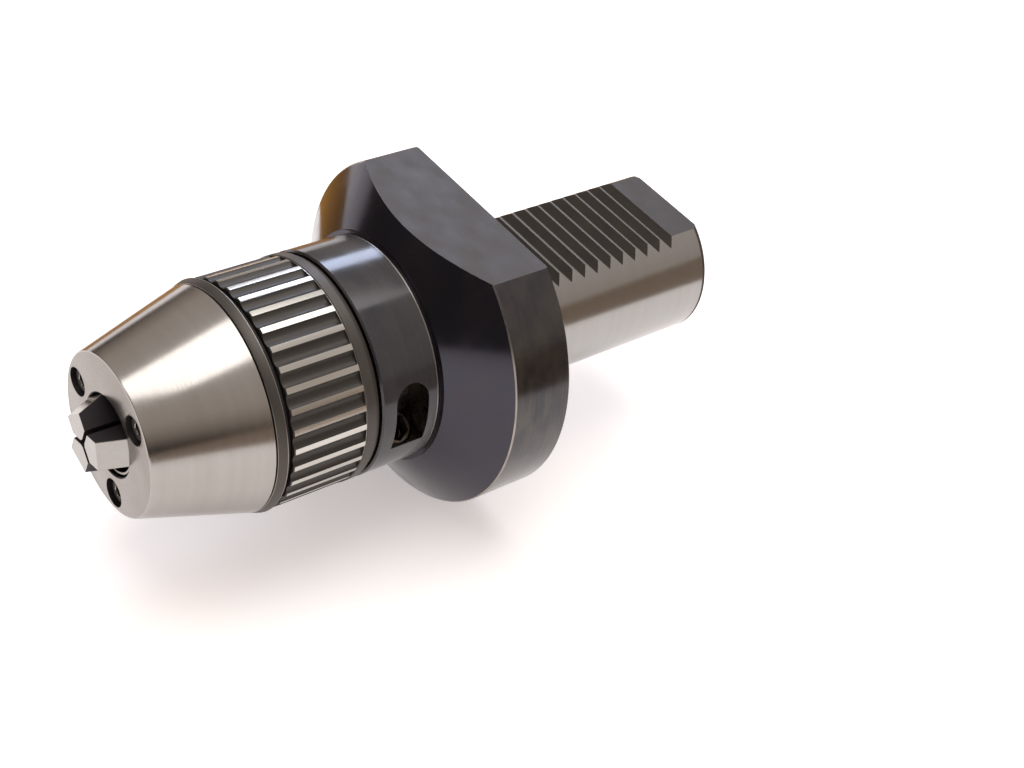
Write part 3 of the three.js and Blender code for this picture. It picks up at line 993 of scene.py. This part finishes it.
# ---- nose
@dataclass
class Nose(Assembly):
    """The bright cone with its screws, and the black rings behind it."""

    face_r: float = 18.7
    hole_r: float = 9.45
    bore_r: float = 8.4
    guide_rear: float = 62.7
    slot_reach: float = 19.4
    slot_gap: float = 0.3
    post_r: float = 2.9
    post_start: float = 36.7
    well_r: float = 3.35
    well_floor: float = 87.7
    head_top: float = 91.0
    head_r: float = 2.75
    screw_r: float = 1.5
    screw_start: float = 26.0
    socket_corner: float = 2.5 * HEX_CORNER
    socket_depth: float = 1.7

    def build(self) -> None:
        """Makes the cone, its screws and the rings."""
        low, high = in_mm(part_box("nose_cone"))
        self.face, self.rear_r = -low[1], high[0]
        self.ring_low, self.ring_high = in_mm(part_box("front_ring"))
        self.rear = -self.ring_low[1] + 0.3
        self.build_cone()
        for number, angle in enumerate(SCREW_ANGLES, 1):
            self.build_screw(number, angle)
        self.build_rings()

    def profile(self) -> Profile:
        """The outline that the cone is turned to.

        Returns:
            Its points, round the section.
        """
        face, rear, hole, bore = self.face, self.rear, self.hole_r, self.bore_r
        return [
            (bore, self.guide_rear), (22, self.guide_rear), (22, 64.1), (24, 64.1), (24, rear),
            (self.rear_r - 0.12, rear), (self.rear_r - 0.02, rear + 0.12),
            (self.face_r + 0.06, face - 0.4), (self.face_r - 0.12, face - 0.1), (self.face_r - 0.4, face),
            (hole + 0.25, face), (hole, face - 0.25), (hole, face - 2.2), (hole - 0.4, face - 2.2),
            (hole - 0.42, face - 0.8), (hole - 0.5, face - 0.7), (bore + 0.1, face - 0.7),
            (bore, face - 0.85),
        ]  # fmt: skip

    def jaw_slot(self, angle: float) -> Mesh:
        """The cutter for one jaw's slot.

        Args:
            angle: the jaw's place about the tool axis, in degrees.

        Returns:
            The tool's mesh.
        """
        slope = math.tan(math.radians(JAW_SLOPE))
        clear, deep, rear = JAW_OUTER_AT_FACE + self.slot_gap, self.slot_reach, self.guide_rear - 1
        points = [(0, self.face + 1), (clear - slope, self.face + 1)]
        points += [(deep, self.face - (deep - clear) / slope), (deep, rear), (0, rear)]
        half = mm(JAW_WIDTH / 2 + self.slot_gap)
        outline = [spot(radius, ahead, 0) + Vector((0, 0, -half)) for radius, ahead in points]
        return swung(prism(outline, Vector((0, 0, 2 * half))), angle)

    def choose(self, centre: Vector, normal: Vector) -> Material:
        """The finish of one face.

        Args:
            centre: the face's centre in millimetres.
            normal: its direction, which makes no difference here.

        Returns:
            The finish.
        """
        reach = math.hypot(centre.x, centre.z)
        on_lip = self.bore_r - 0.05 < reach < self.hole_r - 0.3 and centre.y < -self.face + 0.9
        if centre.y < -self.face + 0.05 or on_lip:
            return self.paints.face
        widening = (self.rear_r - self.face_r) / (self.face - self.rear)
        cone = self.face_r + (centre.y + self.face) * widening
        on_cone = abs(reach - cone) < 0.5 and centre.y < -self.rear
        return self.paints.cone if on_cone else self.paints.jaw_side

    def build_cone(self) -> None:
        """Turns, slots and finishes the cone."""
        piece = as_object("cone", turned(self.profile(), 224))
        carve(piece, on_screw_circle(self.post_r, self.post_start, 64), Carving.ADD)
        carve(piece, gathered(self.jaw_slot(angle) for angle in JAW_ANGLES))
        carve(piece, on_screw_circle(self.well_r, self.well_floor, self.face + 1, 64))
        carve(piece, on_screw_circle(SCREW_HOLE_R, 36, self.face, 24))
        tints = self.paints
        paint(piece, [tints.cone, tints.face, tints.edge, tints.jaw_side], self.choose)
        soften(piece, 0.14, edge=tints.edge)
        self.put(piece, Body.HOUSING, "nose_cone", "ground_steel")

    def build_screw(self, number: int, angle: float) -> None:
        """One socket-head screw.

        Args:
            number: which screw.
            angle: degrees about the tool axis.
        """
        top = self.head_top

        def rod(radius: float, start: float, end: float, sides: int = 48) -> Mesh:
            """A bar on the screw's line."""
            return bar(radius, spot(SCREW_CIRCLE, start, angle), spot(SCREW_CIRCLE, end, angle), sides)

        def choose(centre: Vector, normal: Vector) -> Material:
            """The finish of one face: bright on the socket's walls, a painted highlight as well as where
            keys rub, black elsewhere.
            """
            in_socket = (centre - middle).xz.length < 1.4 and centre.y < self.socket_depth - top
            return self.paints.edge if in_socket and abs(normal.y) < 0.1 else self.paints.flute

        middle = spot(SCREW_CIRCLE, 0, angle) * MM_PER_M
        piece = as_object(f"cap_screw_{number}", rod(self.head_r, top - 3, top))
        carve(piece, rod(self.screw_r, self.screw_start, top - 2.8, 32), Carving.ADD)
        carve(piece, rod(self.socket_corner, top - self.socket_depth, top + 1, 6))
        paint(piece, [self.paints.flute, self.paints.edge], choose)
        soften(piece, 0.28, 3)
        self.put(piece, Body.HOUSING, f"nose_screw_{number}", "screw_black")

    def build_rings(self) -> None:
        """The black ring behind the cone and the seal behind that."""
        rear, front, outer, inner = -self.ring_high[1], -self.ring_low[1], self.ring_high[0], 24.3
        section = [(inner, rear), (outer - 0.3, rear), (outer, rear + 0.3)]
        section += [(26.25, front - 0.15), (26.1, front), (inner, front)]
        black = as_object("cone_ring", turned(section, 224))
        paint(black, [self.paints.satin, self.paints.edge])
        soften(black, 0.12, edge=self.paints.edge)
        self.put(black, Body.HOUSING, "front_ring", "black_oxide_satin")
        low, high = in_mm(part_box("front_seal"))
        radius, near, far, inner = high[0], -high[1], -low[1], 22.3
        section = [(inner, near), (radius - 0.2, near), (radius, near + 0.25)]
        seal = as_object("wiper_ring", turned(section + [(radius - 0.2, far), (inner, far)]))
        paint(seal, [self.paints.rubber])
        soften(seal)
        self.put(seal, Body.HOUSING, "front_seal", "seal_rubber")


# ---- grip
@dataclass
class Grip(Assembly):
    """The fluted sleeve and the drive nut inside it."""

    land_rear: float = 44.5
    flutes: int = 36
    flute_depth: float = 0.75
    flute_width: float = 3.4
    rim_r: float = 26.8
    land_r: float = 26.6
    bore_r: float = 22.3
    key_half: float = 1.8
    key_angle: float = 90.0
    nut_teeth: int = 24
    nut_r: float = 22.0
    nut_bore_r: float = 19.5
    tooth_depth: float = 1.1
    gash_half: float = 0.8

    def build(self) -> None:
        """Makes the sleeve and the nut."""
        low, high = in_mm(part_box("grip_sleeve"))
        self.front, self.rear = -low[1], -high[1]
        self.build_sleeve()
        self.build_nut()

    def keyway(self, inner: float, outer: float, rear: float, front: float) -> Mesh:
        """The cutter for the drive key's slot.

        Args:
            inner: its low end, from the tool axis.
            outer: its high end.
            rear: how far ahead it starts.
            front: how far ahead it ends.

        Returns:
            The tool's mesh.
        """
        half = self.key_half
        return swung(block((inner, -front, -half), (outer, -rear, half)), self.key_angle)

    def build_sleeve(self) -> None:
        """Turns the sleeve, cuts its flutes and grinds the lands between them."""
        rim, land, rear, front, bore = self.rim_r, self.land_r, self.rear, self.front, self.bore_r
        profile = [
            (25.2, rear), (rim - 1.1, rear), (rim - 0.75, rear + 0.15), (rim - 0.35, rear + 1.0),
            (rim - 0.3, rear + 1.25), (rim, rear + 1.4), (rim, self.land_rear - 0.25),
            (land, self.land_rear - 0.05), (land, front - 0.25), (land - 0.25, front),
            (bore, front), (bore, 59.5), (23.5, 59.5), (23.5, 57.7), (bore, 57.7),
            (bore, 45.7), (24.3, 45.7), (24.3, 43.5), (25.2, 43.5),
        ]  # fmt: skip
        piece = as_object("sleeve", turned(profile, 288))
        radius = (self.flute_width**2 / 4 + self.flute_depth**2) / (2 * self.flute_depth)
        centre, step = land - self.flute_depth + radius, 360 / self.flutes
        cutters = [
            bar(radius, *(spot(centre, ahead, (n + 0.5) * step) for ahead in (self.land_rear, 70)), 56)
            for n in range(self.flutes)
        ]
        carve(piece, gathered(cutters))
        carve(piece, self.keyway(20, 23.5, 45, 56))
        tints = self.paints
        paint(piece, [tints.flute, tints.land, tints.satin, tints.edge], self.choose)
        soften(piece, 0.07, angle=24.0)
        self.put(piece, Body.DRIVE, "grip_sleeve", "black_oxide_satin")

    def choose(self, centre: Vector, normal: Vector) -> Material:
        """The finish of one face of the sleeve.

        Args:
            centre: the face's centre in millimetres.
            normal: its direction.

        Returns:
            The finish.
        """
        reach = math.hypot(centre.x, centre.z)
        on_land = abs(reach - self.land_r) < 0.03 and abs(normal.y) < 0.1
        along_land = -self.front + 0.2 < centre.y < -self.land_rear + 0.2
        outward = (centre.x * normal.x + centre.z * normal.z) / reach > 0.995
        if on_land and along_land and outward:
            return self.paints.land
        if centre.y <= -self.land_rear - 0.02:
            return self.paints.flute
        # The sleeve's rear shoulder: a painted highlight line, as well as worn-off black.
        on_shoulder = abs(centre.y + self.rear + 1.32) < 0.12 and reach > self.rim_r - 0.5
        return self.paints.edge if on_shoulder else self.paints.satin

    def build_nut(self) -> None:
        """The drive nut, whose teeth show in the key's window."""
        low, high = in_mm(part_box("drive_nut"))
        rear, front, outer, bore = -high[1], -low[1], self.nut_r, self.nut_bore_r
        profile = [
            (bore, rear), (outer, rear), (outer, 43.4), (24, 43.4), (24, 45.4), (outer, 45.4),
            (outer, 57.7), (20.9, 57.7), (20.9, 59.5), (outer, 59.5), (outer, front), (bore, front),
        ]  # fmt: skip
        piece = as_object("toothed_nut", turned(profile, 144))
        half, step = self.gash_half, 360 / self.nut_teeth
        corners = (18, -rear - self.tooth_depth, -half), (23, -rear + 1, half)
        carve(piece, gathered(swung(block(*corners), n * step) for n in range(self.nut_teeth)))
        carve(piece, self.keyway(20.6, 25, 47.4, 56))
        paint(piece, [self.paints.hardened])
        soften(piece, 0.12)
        self.put(piece, Body.DRIVE, "drive_nut", "hardened_steel")


# ---- worm
@dataclass
class Worm(Assembly):
    """The drive worm that the key turns."""

    line: WormLine
    thread_pitch: float = 5.3
    thread_turns: float = 2.1
    thread_steps: int = 100
    core_r: float = 2.9
    crest_r: float = 3.78
    half_length: float = 8.2
    collar: float = 1.6
    socket_corner: float = 6 * HEX_CORNER
    socket_floor: float = -1.25

    def thread(self) -> Mesh:
        """The thread: one section wound along the worm's line.

        Returns:
            The closed mesh, faces out.
        """
        root, crest, side = self.core_r - 0.2, self.crest_r, Vector((0, 1, 0))
        start, way = self.line.point(-self.thread_turns * self.thread_pitch / 2), self.line.way
        section = [(root, -1.2), (crest, -0.55), (crest, 0.55), (root, 1.2)]
        bm = bmesh.new()
        points = [start + side * mm(radius) + way * mm(along) for radius, along in section]
        face = bm.faces.new([bm.verts.new(point) for point in points])
        bmesh.ops.spin(
            bm,
            geom=[face],
            cent=start,
            axis=way,
            dvec=way * mm(self.thread_turns * self.thread_pitch / self.thread_steps),
            angle=2 * math.pi * self.thread_turns,
            steps=self.thread_steps,
        )
        return cleaned(bm)

    def build(self) -> None:
        """Makes the worm: a core, one thread wound round it and the key's socket."""
        half = self.half_length
        piece = as_object("key_worm", self.line.bar(self.core_r + 0.1, -half, half))
        for start in (-half, half - self.collar):
            collar = self.line.bar(self.crest_r - 0.05, start, start + self.collar)
            carve(piece, collar, Carving.ADD)
        carve(piece, self.thread(), Carving.ADD)
        carve(piece, self.line.bar(self.socket_corner, -12.0, self.socket_floor, 6))
        paint(piece, [self.paints.hardened])
        soften(piece, 0.12)
        self.put(piece, Body.WORM, "drive_worm", "hardened_steel")


# ---- jaws
@dataclass
class Jaws(Assembly):
    """The three jaws: V-shaped grips, ground round backs and T-shaped tails."""

    grip_r: float = 0.9
    grip_tip: float = 0.45
    grip_depth: float = 1.67
    tail_outer: float = 11.9
    tail_inner: float = 6.2
    tail_top: float = 74.0
    grip_start: float = 83.0
    neck: Triple = (1.7, 59.4, 62.8)
    foot: Triple = (2.9, 50.0, 59.5)

    def build(self) -> None:
        """Makes the jaws."""
        self.slope = math.tan(math.radians(JAW_SLOPE))
        self.shoulder = NOSE_FACE - (self.tail_outer - JAW_OUTER_AT_FACE) / self.slope
        bodies = (Body.JAW_1, Body.JAW_2, Body.JAW_3)
        for number, (angle, body) in enumerate(zip(JAW_ANGLES, bodies), 1):
            self.build_jaw(number, angle, body)

    def side(self) -> list[Vector]:
        """One jaw's outline seen from its side, on the +X side.

        Returns:
            The outline's corners, in metres.
        """
        low, high = in_mm(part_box("jaw_1"))
        tip, tail = -low[1], -high[1]
        outer_at_tip = JAW_OUTER_AT_FACE - (tip - NOSE_FACE) * self.slope
        points = [(self.grip_r, tip), (outer_at_tip, tip), (self.tail_outer, self.shoulder)]
        points += [(self.tail_outer, tail), (self.tail_inner, tail)]
        points += [(self.tail_inner, self.tail_top), (self.grip_r, self.grip_start)]
        return [spot(radius, ahead, 0) for radius, ahead in points]

    def grip_tool(self) -> Mesh:
        """The prism along the axis that gives the grip its V.

        Returns:
            The tool's mesh.
        """
        half, tip, reach = JAW_WIDTH / 2, self.grip_tip, 30
        flat = self.grip_r + self.grip_depth
        points = [(self.grip_r, -tip), (flat, -half), (reach, -half)]
        points += [(reach, half), (flat, half), (self.grip_r, tip)]
        return prism([Vector((mm(x), -mm(50), mm(z))) for x, z in points], Vector((0, -mm(50), 0)))

    def back_tool(self) -> Mesh:
        """The sloping round bar that the jaw's back is ground to, with room for the tail.

        Returns:
            The tool's mesh.
        """
        lean = math.radians(JAW_SLOPE)
        reach = Vector((-math.sin(lean), -math.cos(lean), 0)) * mm(40)
        middle = spot(0, NOSE_FACE, 0)
        envelope = as_object("envelope", bar(JAW_OUTER_AT_FACE + 0.02, middle - reach, middle + reach, 40))
        carve(envelope, block((0, -self.shoulder - 1, -5), (30, -50, 5)), Carving.ADD)
        return as_mesh(envelope)

    def build_jaw(self, number: int, angle: float, body: Body) -> None:
        """One jaw.

        Args:
            number: which jaw.
            angle: degrees about the tool axis.
            body: the body that it rides on.
        """
        half = mm(JAW_WIDTH / 2)
        outline = [point - Vector((0, 0, half)) for point in self.side()]
        piece = as_object(f"grip_jaw_{number}", prism(outline, Vector((0, 0, 2 * half))))
        carve(piece, self.grip_tool(), Carving.KEEP_SHARED)
        carve(piece, self.back_tool(), Carving.KEEP_SHARED)
        for sign in (-1, 1):
            for thickness, low, high in (self.neck, self.foot):
                near, far = sorted((sign * thickness, sign * 6))
                carve(piece, block((0, -high, near), (30, -low, far)))
        piece.data.transform(Matrix.Rotation(math.radians(-angle), 4, "Y"))
        turn = spot(MM_PER_M, 0, angle)

        def choose(centre: Vector, normal: Vector) -> Material:
            """The finish of one face: bright on the back and the tip, dark on the flanks."""
            backward = normal.dot(turn) > 0.6 and centre.y < -80
            return self.paints.jaw if backward or normal.y < -0.9 else self.paints.jaw_side

        paint(piece, [self.paints.jaw_side, self.paints.jaw, self.paints.edge], choose)
        soften(piece, 0.16, edge=self.paints.edge, angle=20)
        self.put(piece, body, f"jaw_{number}", "jaw_steel")


# ---- inside
@dataclass
class HiddenWorks(Assembly):
    """The plain nodes that keep their shape and get a finish."""

    steel: Sequence[str] = ("jaw_carrier", "drive_key", "snap_ring", "rear_race", "ball_cage", "front_race")
    bronze: Sequence[str] = ("worm_washer",)

    def dress(self, nodes: dict[str, bpy.types.Object]) -> None:
        """Gives each node its finish.

        Args:
            nodes: the frame's nodes by name.
        """
        for names, finish in ((self.steel, self.paints.hardened), (self.bronze, self.paints.bronze)):
            for name in names:
                nodes[name].data.materials.clear()
                nodes[name].data.materials.append(finish)
                LOG.info("%s: keeps its shape, dressed in %s", name, finish.name)


# ---- studio
def matt(name: str, colour: str) -> Material:
    """A plain matt material for the studio's own things.

    Args:
        name: its name.
        colour: its colour as sRGB hex.

    Returns:
        The new material.
    """
    material = bpy.data.materials.new(name)
    material.use_nodes = True
    shader = material.node_tree.nodes["Principled BSDF"]
    shader.inputs["Base Color"].default_value = linear(colour)
    shader.inputs["Roughness"].default_value = 0.9
    return material


@dataclass(frozen=True)
class Card:
    """A card beside the table that only shows in reflections, standing or lying down."""

    name: str
    place: tuple[float, float]  # its centre along X and Y
    turn: float  # about Z, in degrees
    half_length: float
    half_breadth: float
    colour: str
    standing: bool

    def build(self, floor_z: float) -> None:
        """Makes the card.

        Args:
            floor_z: the floor's height.
        """
        height = self.half_breadth if self.standing else 1.0
        bm = bmesh.new()
        bmesh.ops.create_grid(bm, x_segments=1, y_segments=1, size=1.0)
        bmesh.ops.scale(bm, verts=bm.verts, vec=(mm(self.half_length), mm(self.half_breadth), 1.0))
        turns = [(90, "X")] if self.standing else []
        for angle, axis in [*turns, (self.turn, "Z")]:
            matrix = Matrix.Rotation(math.radians(angle), 3, axis)
            bmesh.ops.rotate(bm, verts=bm.verts, cent=(0, 0, 0), matrix=matrix)
        centre = Vector((mm(self.place[0]), mm(self.place[1]), mm(floor_z + height)))
        bmesh.ops.translate(bm, verts=bm.verts, vec=centre)
        card = as_object(self.name, bm)
        card.data.materials.append(matt(f"{self.name}_matt", self.colour))
        card.visible_camera = card.visible_diffuse = card.visible_shadow = False


@dataclass(frozen=True)
class Softbox:
    """A rectangular softbox that faces the object."""

    name: str
    place: Triple  # in metres
    size: tuple[float, float]  # in metres
    power: float  # in watts
    colour: str

    def build(self) -> None:
        """Makes the lamp."""
        lamp = bpy.data.lights.new(self.name, "AREA")
        lamp.shape = "RECTANGLE"
        lamp.size, lamp.size_y = self.size
        lamp.energy = self.power
        lamp.color = linear(self.colour)[:3]
        stand = bpy.data.objects.new(self.name, lamp)
        stand.location = self.place
        stand.rotation_euler = (-Vector(self.place)).to_track_quat("-Z", "Y").to_euler()
        bpy.context.scene.collection.objects.link(stand)


@dataclass
class Studio:
    """The floor, the lights and the camera."""

    floor_z: float = -41.5
    camera_at: Triple = (239.909, -224.558, 259.458)
    camera_right: Triple = (0.59741, 0.78268, 0.17471)
    camera_down: Triple = (0.59982, -0.2915, -0.74514)
    camera_forward: Triple = (-0.53228, 0.54995, -0.64361)
    lens: float = 61.51
    sky_lean: float = 0.35
    sky: Sequence[tuple[float, str]] = (
        (0.04, "#3d352f"),
        (0.2, "#968b81"),
        (0.45, "#c6bbb1"),
        (0.95, "#d6cec8"),
    )
    softboxes: Sequence[Softbox] = (
        Softbox("overhead", (-0.09, -0.03, 1.1), (1.2, 0.8), 8.2, "#fffefb"),
        Softbox("window_side", (-0.907, 0.671, 0.705), (0.47, 0.3), 4.6, "#d6e4ff"),
    )
    cards: Sequence[Card] = (
        Card("dark_card", (265, 28), 126, 420, 46, "#9a8977", standing=True),
        Card("oak_board", (-190, 60), 80, 300, 86, "#a8762c", standing=False),
    )

    def build(self) -> None:
        """Sets the studio up."""
        self.build_floor()
        self.build_room()
        for softbox in self.softboxes:
            softbox.build()
        for card in self.cards:
            card.build(self.floor_z)
        self.build_camera()
        bpy.context.scene.view_settings.view_transform = "Standard"

    def build_floor(self) -> None:
        """A pale floor under the object: matt acrylic, lit a little from below."""
        bm = bmesh.new()
        bmesh.ops.create_grid(bm, x_segments=1, y_segments=1, size=4.0)
        bmesh.ops.translate(bm, verts=bm.verts, vec=(0, 0, mm(self.floor_z)))
        floor = as_object("floor", bm)
        material = matt("opal_acrylic_light_table", "#f4f3f3")
        shader = material.node_tree.nodes["Principled BSDF"]
        shader.inputs["Emission Color"].default_value = linear("#fff8f8")
        shader.inputs["Emission Strength"].default_value = 0.42
        floor.data.materials.append(material)

    def build_room(self) -> None:
        """A dim room that is darkest near the horizon."""
        world = bpy.data.worlds.new("studio_room")
        world.use_nodes = True
        tree = world.node_tree
        tree.nodes.clear()
        way = add_node(tree, "ShaderNodeTexCoord").outputs["Generated"]
        parts = add_node(tree, "ShaderNodeSeparateXYZ", {"Vector": way})
        sum_parts = {0: parts.outputs["Y"], 1: self.sky_lean, 2: parts.outputs["Z"]}
        height = add_node(tree, "ShaderNodeMath", sum_parts, operation="MULTIPLY_ADD")
        ramp = add_node(tree, "ShaderNodeValToRGB", {"Fac": height.outputs[0]})
        while len(ramp.color_ramp.elements) < len(self.sky):
            ramp.color_ramp.elements.new(0.5)
        for element, (place, colour) in zip(ramp.color_ramp.elements, self.sky):
            element.position = place
            element.color = linear(colour)
        glow = {"Color": ramp.outputs["Color"], "Strength": 1.05}
        sky = add_node(tree, "ShaderNodeBackground", glow)
        add_node(tree, "ShaderNodeOutputWorld", {"Surface": sky.outputs[0]})
        bpy.context.scene.world = world

    def build_camera(self) -> None:
        """The camera, seen from the nose end, above and to the right."""
        lens = bpy.data.cameras.new("camera")
        lens.lens = self.lens
        lens.sensor_width = 36.0
        lens.clip_start = 0.01
        camera = bpy.data.objects.new("camera", lens)
        axes = (Vector(self.camera_right), -Vector(self.camera_down), -Vector(self.camera_forward))
        turn = Matrix(axes).transposed().to_4x4()
        camera.matrix_world = Matrix.Translation(Vector(self.camera_at) / MM_PER_M) @ turn
        bpy.context.scene.collection.objects.link(camera)
        bpy.context.scene.camera = camera


def main() -> None:
    """Builds the chuck's looks and the studio."""
    logging.basicConfig(level=logging.INFO, format="%(message)s")
    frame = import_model()
    paints = Paintbox()
    line = WormLine.of(frame["record"])
    Holder(paints, line).build()
    Nose(paints).build()
    Grip(paints).build()
    Worm(paints, line).build()
    Jaws(paints).build()
    HiddenWorks(paints).dress(frame["nodes"])
    Studio().build()


if __name__ == "__main__":
    main()
